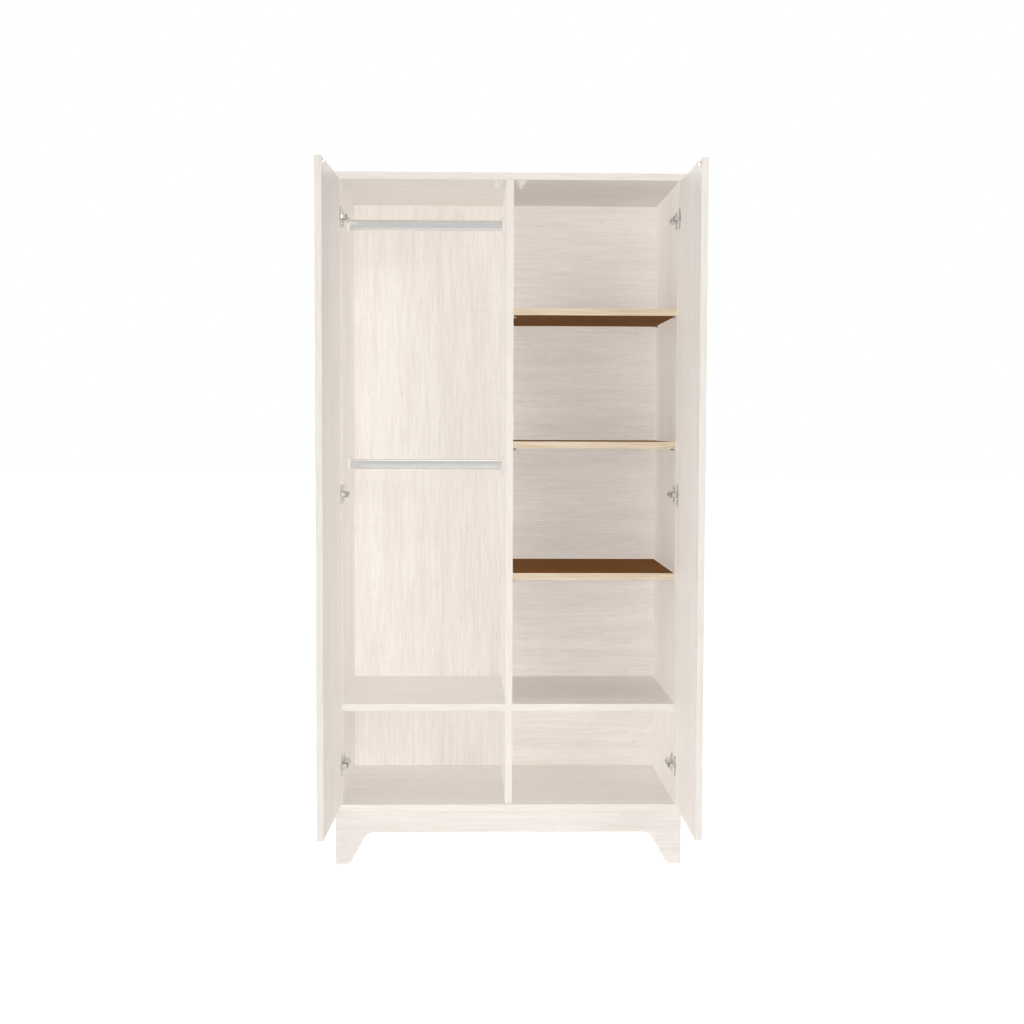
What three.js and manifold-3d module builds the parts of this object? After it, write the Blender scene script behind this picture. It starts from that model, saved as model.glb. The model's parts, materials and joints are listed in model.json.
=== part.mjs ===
// Two-door wardrobe: a board carcass on a footed plinth, a hanging bay with two rails on the left,
// three loose shelves on the right, a full-width fixed shelf with two cubbies below it, and two
// handle-less doors on concealed hinges, held and released by push latches. Millimetres, +Z up.
//
// The carcass is drawn with x = 0 on the centre line, y = 0 on the front edges of the side panels,
// y growing towards the wall, and z = 0 on the floor. The doors stand open, as they rest.

import * as THREE from "three";
import { mergeVertices } from "three/addons/utils/BufferGeometryUtils.js";
import Module from "manifold-3d";

const wasm = await Module();
wasm.setup();

// ---- Driving dimensions -------------------------------------------------------------------------

const WIDTH = 900;
const HEIGHT = 1785;
const BOARD = 18; // thickness of every carcass board and shelf
const PLINTH_HEIGHT = 139; // floor to the underside of the bottom board
const LIP = 18; // how far the top board, bottom board and plinth stand in front of the sides
const SIDE_DEPTH = 552; // front edge of a side panel to the rear plane
const BACK_THICKNESS = 5;
const BACK_REBATE = 9; // how far a back panel laps into the side panel
const BACK_JOINT = 1; // gap between the two back panels, behind the divider

const FIXED_SHELF_TOP = 418;
const SHELF_TOPS = [1444, 1101, 759]; // loose shelves, upper to lower
const SHELF_SETBACK = 15;
const SHELF_END_GAP = 1;
const SHELF_REAR_GAP = 2;

const DOOR_THICKNESS = 16;
const DOOR_CARCASS_GAP = 2; // closed door to the side panel's front edge
const DOOR_END_GAP = 2.5; // door to the top and bottom boards
const DOOR_SIDE_REVEAL = 1; // side panel's outer face to the closed door's hinge edge
const DOOR_CENTRE_GAP = 3; // between the closed doors
const REST_OPENING_DEG = { left: 92, right: 90 };

const HINGE_HEIGHTS = { top: 1671, middle: 964, bottom: 260 };
const PIVOT_FROM_DOOR_EDGE = 5.5; // hinge axis, inside the door's thickness
const PIVOT_FROM_INNER_FACE = 10.5;
const CUP_RADIUS = 17.2;
const CUP_BORE_RADIUS = 17.5;
const CUP_EDGE_DISTANCE = 21.5; // cup centre to the door's hinge edge
const CUP_DEPTH = 12;
const LINK_RATIO = 0.72; // link turn for each degree of door turn

const RAIL_HEIGHTS = { upper: 1681, lower: 1036 }; // rail centres
const RAIL_DEPTH_POSITION = 272; // behind the side panel's front edge
const RAIL_TALL = 28;
const RAIL_WIDE = 14;
const RAIL_WALL = 1.2;

const PIN_RADIUS = 2.5;
const PIN_SETBACKS = [52, 492]; // shelf pin rows, behind the side panel's front edge

const LATCH_OFFSET = 31; // latch centre from the centre line
const LATCH_SIZE = { wide: 20, long: 76, high: 12 };
const LATCH_SETBACK = 4;
const PLUNGER_RADIUS = 5;
const PLUNGER_TRAVEL = 14;

const FIT_GAP = 0.3; // clearance kept between pieces that fit into one another

// ---- Worked-out planes --------------------------------------------------------------------------

const HALF = WIDTH / 2;
const INNER = HALF - BOARD; // inner face of a side panel
const BOTTOM_TOP = PLINTH_HEIGHT + BOARD;
const CEILING = HEIGHT - BOARD;
const INNER_DEPTH = SIDE_DEPTH - BACK_THICKNESS;
const DOOR_INNER_FACE = -DOOR_CARCASS_GAP; // closed
const DOOR_WIDTH = HALF - DOOR_SIDE_REVEAL - DOOR_CENTRE_GAP / 2;
const PIVOT_X = HALF - DOOR_SIDE_REVEAL - PIVOT_FROM_DOOR_EDGE;
const PIVOT_Y = DOOR_INNER_FACE - PIVOT_FROM_INNER_FACE;
const DOOR_REACH = -PIVOT_Y + DOOR_WIDTH - PIVOT_FROM_DOOR_EDGE; // in front of y = 0 when open square
const CENTRE_Y = (SIDE_DEPTH - DOOR_REACH) / 2; // middle of the object's depth, doors at rest

// ---- Materials ----------------------------------------------------------------------------------

const finish = (color, roughness, metalness) =>
  new THREE.MeshStandardMaterial({ color, roughness, metalness });
const whitewashedBoard = () => finish("#ebe5dd", 0.6, 0);
const paleBackBoard = () => finish("#e6e0d8", 0.65, 0);
const oakBoard = () => finish("#b98d59", 0.55, 0);
const chrome = () => finish("#d3d8dd", 0.12, 1);
const nickelSteel = () => finish("#c9c9c6", 0.3, 1);
const whitePlastic = () => finish("#f1f0ec", 0.4, 0);

// ---- Helpers ------------------------------------------------------------------------------------

const carcass = new THREE.Group();

function addMesh(parent, name, geometry, material) {
  const mesh = new THREE.Mesh(geometry, material);
  mesh.name = name;
  parent.add(mesh);
  return mesh;
}

// A box between two corners.
function block([x0, x1], [y0, y1], [z0, z1]) {
  const box = new THREE.BoxGeometry(x1 - x0, y1 - y0, z1 - z0);
  return box.translate((x0 + x1) / 2, (y0 + y1) / 2, (z0 + z1) / 2);
}

// An outline drawn in x and z, extruded along y from y0 to y1.
function slabAlongY(shape, y0, y1, curveSegments = 8) {
  const slab = new THREE.ExtrudeGeometry(shape, { depth: y1 - y0, bevelEnabled: false, curveSegments });
  return slab.rotateX(Math.PI / 2).translate(0, y1, 0);
}

// An outline drawn in y and z, extruded along x from x0 to x1.
function slabAlongX(shape, x0, x1, curveSegments = 8) {
  const slab = new THREE.ExtrudeGeometry(shape, { depth: x1 - x0, bevelEnabled: false, curveSegments });
  return slab.rotateX(Math.PI / 2).rotateZ(Math.PI / 2).translate(x0, 0, 0);
}

// An outline drawn in x and y, extruded along z, centred on z = 0.
function slabAlongZ(shape, thickness, curveSegments = 8) {
  const slab = new THREE.ExtrudeGeometry(shape, { depth: thickness, bevelEnabled: false, curveSegments });
  return slab.translate(0, 0, -thickness / 2);
}

// A cylinder along y between y0 and y1.
function roundAlongY(radius, y0, y1, x, z, segments = 24) {
  const round = new THREE.CylinderGeometry(radius, radius, y1 - y0, segments);
  return round.translate(x, (y0 + y1) / 2, z);
}

// A cylinder along x between x0 and x1.
function roundAlongX(radius, x0, x1, y, z, segments = 12) {
  const round = new THREE.CylinderGeometry(radius, radius, x1 - x0, segments);
  return round.rotateZ(Math.PI / 2).translate((x0 + x1) / 2, y, z);
}

function toSolid(geometry) {
  const bare = geometry.index ? geometry.toNonIndexed() : geometry.clone();
  bare.deleteAttribute("normal");
  bare.deleteAttribute("uv");
  const merged = mergeVertices(bare, 1e-4);
  return new wasm.Manifold(
    new wasm.Mesh({
      numProp: 3,
      vertProperties: merged.attributes.position.array,
      triVerts: new Uint32Array(merged.index.array),
    }),
  );
}

function toGeometry(solid) {
  const mesh = solid.getMesh();
  const geometry = new THREE.BufferGeometry();
  geometry.setAttribute("position", new THREE.BufferAttribute(new Float32Array(mesh.vertProperties), 3));
  geometry.setIndex(new THREE.BufferAttribute(new Uint32Array(mesh.triVerts), 1));
  geometry.computeVertexNormals();
  return geometry;
}

// Joins the first list of geometries and cuts the second list out of them.
function shaped(joined, cut = []) {
  let solid = toSolid(joined[0]);
  for (const piece of joined.slice(1)) solid = solid.add(toSolid(piece));
  for (const piece of cut) solid = solid.subtract(toSolid(piece));
  return toGeometry(solid);
}

// ---- Carcass boards -----------------------------------------------------------------------------

function addCarcassBoards() {
  const acrossAll = [-HALF, HALF];
  const capDepth = [-LIP, SIDE_DEPTH];
  addMesh(carcass, "top_board", block(acrossAll, capDepth, [CEILING, HEIGHT]), whitewashedBoard());
  addMesh(carcass, "bottom_board", block(acrossAll, capDepth, [PLINTH_HEIGHT, BOTTOM_TOP]), whitewashedBoard());

  const fixedShelf = block([-INNER, INNER], [0, INNER_DEPTH], [FIXED_SHELF_TOP - BOARD, FIXED_SHELF_TOP]);
  addMesh(carcass, "fixed_shelf", fixedShelf, whitewashedBoard());

  const dividerWidth = [-BOARD / 2, BOARD / 2];
  const lowerHeight = [BOTTOM_TOP, FIXED_SHELF_TOP - BOARD];
  addMesh(carcass, "lower_divider", block(dividerWidth, [0, INNER_DEPTH], lowerHeight), whitewashedBoard());
  const upperDivider = block(dividerWidth, [0, INNER_DEPTH], [FIXED_SHELF_TOP, CEILING]);
  const dividerHoles = pinPlaces().filter((pin) => pin.onDivider).map(pinHole);
  addMesh(carcass, "upper_divider", shaped([upperDivider], dividerHoles), whitewashedBoard());
}

// A side panel has a rebate along its rear inner edge that holds the back panel.
function addSidePanel(side, name) {
  const height = [BOTTOM_TOP, CEILING];
  const panel = new THREE.Shape();
  panel.moveTo(side * HALF, 0);
  panel.lineTo(side * HALF, SIDE_DEPTH);
  panel.lineTo(side * (INNER + BACK_REBATE), SIDE_DEPTH);
  panel.lineTo(side * (INNER + BACK_REBATE), INNER_DEPTH);
  panel.lineTo(side * INNER, INNER_DEPTH);
  panel.lineTo(side * INNER, 0);
  panel.closePath();
  const middle = (height[0] + height[1]) / 2;
  const body = slabAlongZ(panel, height[1] - height[0]).translate(0, 0, middle);
  const holes = side > 0 ? pinPlaces().filter((pin) => !pin.onDivider).map(pinHole) : [];
  addMesh(carcass, name, shaped([body], holes), whitewashedBoard());
}

function addBackPanel(side, name) {
  const edges = [side * (BACK_JOINT / 2), side * (INNER + BACK_REBATE)].sort((a, b) => a - b);
  const panel = block(edges, [INNER_DEPTH, SIDE_DEPTH], [BOTTOM_TOP, CEILING]);
  addMesh(carcass, name, panel, paleBackBoard());
}

// ---- Plinth -------------------------------------------------------------------------------------

const APRON_UNDERSIDE = 84;
const FOOT_SLOPE = THREE.MathUtils.degToRad(61);
const FOOT_WIDTH_AT_FLOOR = 36; // where the sloping inner edge would meet the floor
const FOOT_TOE_RADIUS = 19;
const FOOT_THROAT_RADIUS = 28;

// A board from one end of a run to the other, with a foot at each end: the foot's inner edge rises
// at a slope, rounded over at the toe and curving into the apron's underside at the throat.
function footedOutline(start, end) {
  const slopeRun = APRON_UNDERSIDE / Math.tan(FOOT_SLOPE);
  const tangent = Math.tan(FOOT_SLOPE / 2);
  const toe = FOOT_TOE_RADIUS;
  const throat = FOOT_THROAT_RADIUS;
  const lean = Math.PI / 2 - FOOT_SLOPE;
  const outline = new THREE.Shape();
  outline.moveTo(start, PLINTH_HEIGHT);
  outline.lineTo(start, 0);
  outline.lineTo(start + FOOT_WIDTH_AT_FLOOR - toe * tangent, 0);
  outline.absarc(start + FOOT_WIDTH_AT_FLOOR - toe * tangent, toe, toe, -Math.PI / 2, -lean, false);
  const throatStart = start + FOOT_WIDTH_AT_FLOOR + slopeRun + throat * tangent;
  outline.absarc(throatStart, APRON_UNDERSIDE - throat, throat, Math.PI - lean, Math.PI / 2, true);
  const throatEnd = end - FOOT_WIDTH_AT_FLOOR - slopeRun - throat * tangent;
  outline.absarc(throatEnd, APRON_UNDERSIDE - throat, throat, Math.PI / 2, lean, true);
  outline.absarc(end - FOOT_WIDTH_AT_FLOOR + toe * tangent, toe, toe, Math.PI + lean, 1.5 * Math.PI, false);
  outline.lineTo(end, 0);
  outline.lineTo(end, PLINTH_HEIGHT);
  outline.closePath();
  return outline;
}

function addPlinth() {
  const front = slabAlongY(footedOutline(-HALF, HALF), -LIP, -LIP + BOARD);
  addMesh(carcass, "plinth_front", front, whitewashedBoard());
  const rear = slabAlongY(footedOutline(-HALF, HALF), SIDE_DEPTH - BOARD, SIDE_DEPTH);
  addMesh(carcass, "plinth_rear", rear, whitewashedBoard());
  const sideOutline = footedOutline(-LIP + BOARD, SIDE_DEPTH - BOARD);
  addMesh(carcass, "plinth_side_left", slabAlongX(sideOutline, -HALF, -INNER), whitewashedBoard());
  addMesh(carcass, "plinth_side_right", slabAlongX(sideOutline, INNER, HALF), whitewashedBoard());
}

// ---- Loose shelves and their pins ---------------------------------------------------------------

const PIN_HOLE_DEPTH = 9;
const PIN_COLLAR = { radius: 4, thick: 0.8 };
const PIN_PEG = { radius: 3, long: 9 };
const SHELF_NAMES = ["shelf_upper", "shelf_middle", "shelf_lower"];

// Each loose shelf rests on four pins: two in the divider and two in the right side panel.
function pinPlaces() {
  const places = [];
  SHELF_TOPS.forEach((top, level) => {
    for (const onDivider of [true, false]) {
      PIN_SETBACKS.forEach((y, row) => {
        const z = top - BOARD - PIN_PEG.radius - FIT_GAP / 3;
        const label = `${onDivider ? "inner" : "outer"}_${row === 0 ? "front" : "rear"}`;
        places.push({ name: `${SHELF_NAMES[level]}_pin_${label}`, onDivider, y, z });
      });
    }
  });
  return places;
}

function pinHole({ onDivider, y, z }) {
  const face = onDivider ? BOARD / 2 : INNER;
  const into = onDivider ? -1 : 1;
  const span = [face + into * PIN_HOLE_DEPTH, face - into].sort((a, b) => a - b);
  return roundAlongX(PIN_RADIUS + FIT_GAP, span[0], span[1], y, z);
}

// A turned pin: a plain shank in the hole, a thin collar against the panel, and the shelf's peg.
function addShelfPin({ name, onDivider, y, z }) {
  const shank = PIN_HOLE_DEPTH - 1;
  const profile = [
    [0, -shank],
    [PIN_RADIUS, -shank],
    [PIN_RADIUS, 0],
    [PIN_COLLAR.radius, 0],
    [PIN_COLLAR.radius, PIN_COLLAR.thick],
    [PIN_PEG.radius, PIN_COLLAR.thick],
    [PIN_PEG.radius, PIN_PEG.long],
    [0, PIN_PEG.long],
  ].map(([radius, along]) => new THREE.Vector2(radius, along));
  const pin = addMesh(carcass, name, new THREE.LatheGeometry(profile, 12), nickelSteel());
  pin.rotation.z = onDivider ? -Math.PI / 2 : Math.PI / 2;
  pin.position.set(onDivider ? BOARD / 2 : INNER, y, z);
}

function addLooseShelves() {
  const across = [BOARD / 2 + SHELF_END_GAP, INNER - SHELF_END_GAP];
  const depth = [SHELF_SETBACK, INNER_DEPTH - SHELF_REAR_GAP];
  SHELF_TOPS.forEach((top, level) => {
    addMesh(carcass, SHELF_NAMES[level], block(across, depth, [top - BOARD, top]), oakBoard());
  });
  pinPlaces().forEach(addShelfPin);
}

// ---- Hanging rails ------------------------------------------------------------------------------

const BRACKET_PLATE = 2.5;
const BRACKET_COLLAR = 12; // how far the socket stands off the panel
const BRACKET_WALL = 2.2;
const BRACKET_EAR = { reach: 27, radius: 7 };

// An upright oval: two half circles joined by straight flanks, grown all round by a margin.
function ovalOutline(margin, path = new THREE.Shape()) {
  const radius = RAIL_WIDE / 2 + margin;
  const rise = (RAIL_TALL - RAIL_WIDE) / 2;
  path.absarc(0, rise, radius, 0, Math.PI, false);
  path.absarc(0, -rise, radius, Math.PI, 2 * Math.PI, false);
  path.closePath();
  return path;
}

function addRail(name, z) {
  const section = ovalOutline(0);
  section.holes.push(ovalOutline(-RAIL_WALL, new THREE.Path()));
  const ends = [-INNER + BRACKET_PLATE + FIT_GAP, -BOARD / 2 - BRACKET_PLATE - FIT_GAP];
  const tube = addMesh(carcass, name, slabAlongX(section, ends[0], ends[1]), chrome());
  tube.position.set(0, RAIL_DEPTH_POSITION, z);
}

// A screw-on socket: a plate with an ear above and below, and an oval collar round the rail's end.
function addRailBracket(name, face, into, z) {
  const at = (along) => face + into * along;
  const spanned = (shape, from, to) =>
    slabAlongX(shape, Math.min(at(from), at(to)), Math.max(at(from), at(to)));
  const ears = new THREE.Shape();
  ears.absarc(0, BRACKET_EAR.reach - BRACKET_EAR.radius, BRACKET_EAR.radius, 0, Math.PI, false);
  ears.absarc(0, BRACKET_EAR.radius - BRACKET_EAR.reach, BRACKET_EAR.radius, Math.PI, 2 * Math.PI, false);
  ears.closePath();
  const plate = spanned(ears, 0, BRACKET_PLATE);
  const collar = spanned(ovalOutline(BRACKET_WALL), 0, BRACKET_COLLAR);
  const socket = spanned(ovalOutline(FIT_GAP), BRACKET_PLATE, BRACKET_COLLAR + 1);
  const bracket = addMesh(carcass, name, shaped([plate, collar], [socket]), whitePlastic());
  bracket.position.set(0, RAIL_DEPTH_POSITION, z);
}

function addHangingRails() {
  for (const [level, z] of Object.entries(RAIL_HEIGHTS)) {
    addRail(`hanging_rail_${level}`, z);
    addRailBracket(`rail_bracket_${level}_outer`, -INNER, 1, z);
    addRailBracket(`rail_bracket_${level}_inner`, -BOARD / 2, -1, z);
  }
}

// ---- Concealed hinges ---------------------------------------------------------------------------
// Hinge pieces are drawn about the hinge axis with the door closed: along runs from the hinge edge
// towards the middle of the wardrobe, and inward runs towards the wall.

const DOOR_FACE = PIVOT_FROM_INNER_FACE; // the door's inner face, inward of the axis
const CUP_ALONG = CUP_EDGE_DISTANCE - PIVOT_FROM_DOOR_EDGE;
const CUP_INNER_RADIUS = 16;
const CUP_FLOOR = 1;
const FLANGE = { thick: 1.2, radius: 18.7, earWidth: 16, tall: 56, screwHole: 2, screwSpacing: 45 };
const ARM = { web: 27.5, sheet: 1.5, tall: 15, tip: 1, noseFrom: 17, rear: 72, channelRear: 40 };
const MOUNT_PLATE = { thick: 2, from: 38, to: 58, tall: 48 };
const LINK = { halfWidth: 1.8, tall: 10, outer: [23.5, 50], inner: [14, 9] }; // ends as [radius, degrees]

function cupGeometry(side) {
  const x = side * -CUP_ALONG;
  const top = DOOR_FACE + FIT_GAP + FLANGE.thick;
  const bottom = DOOR_FACE - CUP_DEPTH + FIT_GAP;
  const ears = block(
    [x - FLANGE.earWidth / 2, x + FLANGE.earWidth / 2],
    [DOOR_FACE + FIT_GAP, top],
    [-FLANGE.tall / 2, FLANGE.tall / 2],
  );
  const disc = roundAlongY(FLANGE.radius, DOOR_FACE + FIT_GAP, top, x, 0, 32);
  const cup = roundAlongY(CUP_RADIUS, bottom, top, x, 0, 32);
  const hollow = roundAlongY(CUP_INNER_RADIUS, bottom + CUP_FLOOR, top + 1, x, 0, 32);
  const screwHoles = [-1, 1].map((end) =>
    roundAlongY(FLANGE.screwHole, DOOR_FACE, top + 1, x, (end * FLANGE.screwSpacing) / 2, 12),
  );
  return shaped([ears, disc, cup], [hollow, ...screwHoles]);
}

// The arm is a channel open towards the side panel, dipping at its nose into the closed door's cup.
function armGeometry(side) {
  const panelFace = PIVOT_X - INNER; // side panel's inner face, along from the axis
  const frontEdge = -PIVOT_Y; // side panel's front edge, inward of the axis
  const corners = [
    [ARM.noseFrom, ARM.tip],
    [ARM.web - 3, ARM.tip],
    [ARM.web, ARM.tip + 3],
    [ARM.web, ARM.rear - 4],
    [ARM.web - 4, ARM.rear],
    [panelFace + MOUNT_PLATE.thick, ARM.rear],
    [panelFace + 1.5, frontEdge + 2],
    [ARM.noseFrom, frontEdge - 2],
  ].map(([along, inward]) => new THREE.Vector2(side * -along, inward));
  const arm = slabAlongZ(new THREE.Shape(corners), ARM.tall);
  const sortedX = (a, b) => [side * -a, side * -b].sort((p, q) => p - q);
  const plate = block(
    sortedX(panelFace, panelFace + MOUNT_PLATE.thick + 0.5),
    [MOUNT_PLATE.from, MOUNT_PLATE.to],
    [-MOUNT_PLATE.tall / 2, MOUNT_PLATE.tall / 2],
  );
  const innerHeight = ARM.tall / 2 - ARM.sheet;
  const channel = block(
    sortedX(panelFace - 5, ARM.web - ARM.sheet),
    [ARM.tip - 1, ARM.channelRear],
    [-innerHeight, innerHeight],
  );
  return shaped([arm, plate], [channel]);
}

// The link is a bar whose middle line spirals from the arm's nose into the cup.
function linkGeometry(side) {
  const steps = 8;
  const [outerRadius, outerDeg] = LINK.outer;
  const [innerRadius, innerDeg] = LINK.inner;
  const edge = (offset) =>
    Array.from({ length: steps + 1 }, (_, i) => {
      const t = i / steps;
      const radius = THREE.MathUtils.lerp(outerRadius, innerRadius, t) + offset;
      const angle = THREE.MathUtils.degToRad(THREE.MathUtils.lerp(outerDeg, innerDeg, t));
      return new THREE.Vector2(side * -radius * Math.cos(angle), radius * Math.sin(angle));
    });
  const outline = [...edge(LINK.halfWidth), ...edge(-LINK.halfWidth).reverse()];
  return slabAlongZ(new THREE.Shape(outline), LINK.tall);
}

// ---- Doors --------------------------------------------------------------------------------------

const STRIKE = { wide: 22, tall: 14, thick: 1.2 };
const LATCH_Z = CEILING - LATCH_SIZE.high / 2;

function doorGeometry(side) {
  const span = [side * PIVOT_FROM_DOOR_EDGE, side * (PIVOT_FROM_DOOR_EDGE - DOOR_WIDTH)];
  const panel = block(
    span.sort((a, b) => a - b),
    [DOOR_FACE - DOOR_THICKNESS, DOOR_FACE],
    [BOTTOM_TOP + DOOR_END_GAP, CEILING - DOOR_END_GAP],
  );
  const bores = Object.values(HINGE_HEIGHTS).map((z) =>
    roundAlongY(CUP_BORE_RADIUS, DOOR_FACE - CUP_DEPTH, DOOR_FACE + 1, side * -CUP_ALONG, z, 32),
  );
  return shaped([panel], bores);
}

// Everything that hangs on one side: the door, its cups and strike, the links and the fixed arms.
function addDoor(side, label) {
  const opening = THREE.MathUtils.degToRad(REST_OPENING_DEG[label]);
  const turning = (turn) => {
    const group = new THREE.Group();
    group.position.set(side * PIVOT_X, PIVOT_Y, 0);
    group.rotation.z = side * turn;
    carcass.add(group);
    return group;
  };
  const swung = turning(opening);
  const linked = turning(opening * LINK_RATIO);
  const still = turning(0);
  addMesh(swung, `door_${label}`, doorGeometry(side), whitewashedBoard());
  for (const [level, z] of Object.entries(HINGE_HEIGHTS)) {
    const place = `${label}_${level}`;
    addMesh(swung, `hinge_cup_${place}`, cupGeometry(side), nickelSteel()).position.z = z;
    addMesh(linked, `hinge_link_${place}`, linkGeometry(side), nickelSteel()).position.z = z;
    addMesh(still, `hinge_arm_${place}`, armGeometry(side), nickelSteel()).position.z = z;
  }
  const strikeX = side * (LATCH_OFFSET - PIVOT_X);
  const strikeTop = CEILING - DOOR_END_GAP - FIT_GAP;
  const strike = block(
    [strikeX - STRIKE.wide / 2, strikeX + STRIKE.wide / 2],
    [DOOR_FACE + FIT_GAP, DOOR_FACE + FIT_GAP + STRIKE.thick],
    [strikeTop - STRIKE.tall, strikeTop],
  );
  addMesh(swung, `strike_plate_${label}`, strike, nickelSteel());
}

// ---- Push latches -------------------------------------------------------------------------------

const PLUNGER_SHOWING = 3.5; // closed
const PLUNGER_LENGTH = 50;
const LATCH_BORE_DEPTH = 62;

function addPushLatch(side, label) {
  const x = side * LATCH_OFFSET;
  const shell = block(
    [x - LATCH_SIZE.wide / 2, x + LATCH_SIZE.wide / 2],
    [LATCH_SETBACK, LATCH_SETBACK + LATCH_SIZE.long],
    [CEILING - LATCH_SIZE.high, CEILING],
  );
  const boreEnd = LATCH_SETBACK + LATCH_BORE_DEPTH;
  const bore = roundAlongY(PLUNGER_RADIUS + FIT_GAP, LATCH_SETBACK - 1, boreEnd, x, LATCH_Z, 20);
  addMesh(carcass, `push_latch_${label}`, shaped([shell], [bore]), whitePlastic());
  const front = LATCH_SETBACK - PLUNGER_SHOWING - PLUNGER_TRAVEL;
  const plunger = roundAlongY(PLUNGER_RADIUS, front, front + PLUNGER_LENGTH, x, LATCH_Z, 20);
  addMesh(carcass, `latch_plunger_${label}`, plunger, whitePlastic());
}

// ---- Assembly -----------------------------------------------------------------------------------

addCarcassBoards();
addPlinth();
addLooseShelves();
addHangingRails();
for (const [label, side] of [["left", -1], ["right", 1]]) {
  addSidePanel(side, `side_panel_${label}`);
  addBackPanel(side, `back_panel_${label}`);
  addDoor(side, label);
  addPushLatch(side, label);
}

// The part's origin is on the floor, at the centre of the carcass's width and of the whole depth.
carcass.position.y = -CENTRE_Y;
const wardrobe = new THREE.Group();
wardrobe.add(carcass);

export default wardrobe;
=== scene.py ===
"""Two-door wardrobe: finished boards, fittings and a plain studio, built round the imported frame.

Everything is in metres in the frame's own axes: +X to the right, +Y towards the wall, +Z up.
The hinge pieces are modelled about their door's axis, in the pose where the door is shut.
"""

import json
import math

import bmesh
import bpy
from bpy.props import FloatProperty, FloatVectorProperty, IntProperty, PointerProperty
from mathutils import Matrix, Vector


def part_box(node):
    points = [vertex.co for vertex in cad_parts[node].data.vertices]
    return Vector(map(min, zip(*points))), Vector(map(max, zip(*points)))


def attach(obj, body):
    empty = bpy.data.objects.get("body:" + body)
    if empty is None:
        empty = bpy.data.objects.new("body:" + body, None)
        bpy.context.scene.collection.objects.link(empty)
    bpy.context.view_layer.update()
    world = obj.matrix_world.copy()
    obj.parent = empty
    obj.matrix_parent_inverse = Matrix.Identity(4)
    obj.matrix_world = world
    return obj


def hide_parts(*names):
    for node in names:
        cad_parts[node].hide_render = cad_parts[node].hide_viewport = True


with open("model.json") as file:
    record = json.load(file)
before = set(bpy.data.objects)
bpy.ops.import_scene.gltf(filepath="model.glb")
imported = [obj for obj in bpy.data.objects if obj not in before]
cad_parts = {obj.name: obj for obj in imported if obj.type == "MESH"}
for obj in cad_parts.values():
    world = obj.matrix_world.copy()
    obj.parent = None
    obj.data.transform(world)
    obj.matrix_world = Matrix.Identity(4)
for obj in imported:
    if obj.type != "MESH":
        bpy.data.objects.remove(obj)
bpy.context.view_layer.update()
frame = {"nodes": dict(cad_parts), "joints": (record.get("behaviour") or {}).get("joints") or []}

bl_info = {
    "name": "Two-door wardrobe",
    "version": (1, 0, 0),
    "blender": (4, 5, 0),
    "location": "3D View > Sidebar > Wardrobe",
    "description": "Builds the boards, doors and fittings of a two-door wardrobe round its frame",
    "category": "Add Mesh",
}

MM = 0.001
SENSOR = 36  # the camera sensor's width in millimetres
SIDES = ("left", "right")
LEVELS = ("top", "middle", "bottom")
JOINTS = {joint["name"]: joint for joint in frame["joints"]}
FRONT, REAR = Vector((0, -1, 0)), Vector((0, 1, 0))
LEFT, RIGHT = Vector((-1, 0, 0)), Vector((1, 0, 0))
DOWN, UP = Vector((0, 0, -1)), Vector((0, 0, 1))
FACING = 0.9  # the share of a normal or a run in a direction, above which it counts as facing that way
CRISP, ROUND = 20, 40  # degrees, past which an edge shades as an edge on a flat piece and on a round one
CORNER_STEPS = 8  # flats in a rounded corner
WELD = 0.01 * MM  # corners of a CAD copy that are closer than this are one
BURR = {"width": 0.25 * MM, "steps": 1, "above": 60}  # how a cut metal edge is eased
SHARP = 50  # degrees, past which an edge of a pressed or moulded fitting is eased


def srgb(code):
    """A hex colour as linear red, green, blue and alpha."""
    channels = [int(code[i : i + 2], 16) / 255 for i in (1, 3, 5)]
    linear = [c / 12.92 if c <= 0.04045 else ((c + 0.055) / 1.055) ** 2.4 for c in channels]
    return (*linear, 1.0)


def length_property(name, description, millimetres):
    """A length that a user can change, in the scene's units."""
    return FloatProperty(
        name=name, description=description, default=millimetres * MM, min=0, precision=5,
        subtype="DISTANCE", unit="LENGTH",
    )


def strength_property(name, description, strength):
    """The strength of a light that a user can change."""
    return FloatProperty(name=name, description=description, default=strength, min=0)


def colour_property(name, description, code):
    """A colour that a user can change."""
    return FloatVectorProperty(
        name=name, description=description, default=srgb(code), min=0, max=1, size=4, subtype="COLOR"
    )


# ---- What a user can change ----


class WardrobeBoards(bpy.types.PropertyGroup):
    """Sizes and colours of the boards."""

    band: length_property("Edge band", "Thickness of the plastic band on a board's edge", 0.8)
    softening: length_property("Softened edge", "How far a board's corner is eased", 0.7)
    nail_spacing: length_property("Nail spacing", "Between the nails that hold the back panels", 130)
    nail_head: length_property("Nail head", "Radius of a nail's head", 2.6)
    pale: colour_property("Whitewash, pale", "Palest tone of the whitewashed grain", "#DCD8D4")
    dark: colour_property("Whitewash, dark", "Darkest tone of the whitewashed grain", "#CAC4BD")
    pore: colour_property("Whitewash, pore", "Pores in the whitewashed grain", "#B4AA9F")
    edge: colour_property("Edge band", "Band on the pale boards", "#DCD7D1")
    oak_pale: colour_property("Oak, pale", "Palest tone of the shelves' faces", "#805114")
    oak_dark: colour_property("Oak, dark", "Darkest tone of the shelves' faces", "#482802")
    oak_edge: colour_property("Oak edge band", "Band on the shelves' edges", "#CEC1AD")


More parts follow.
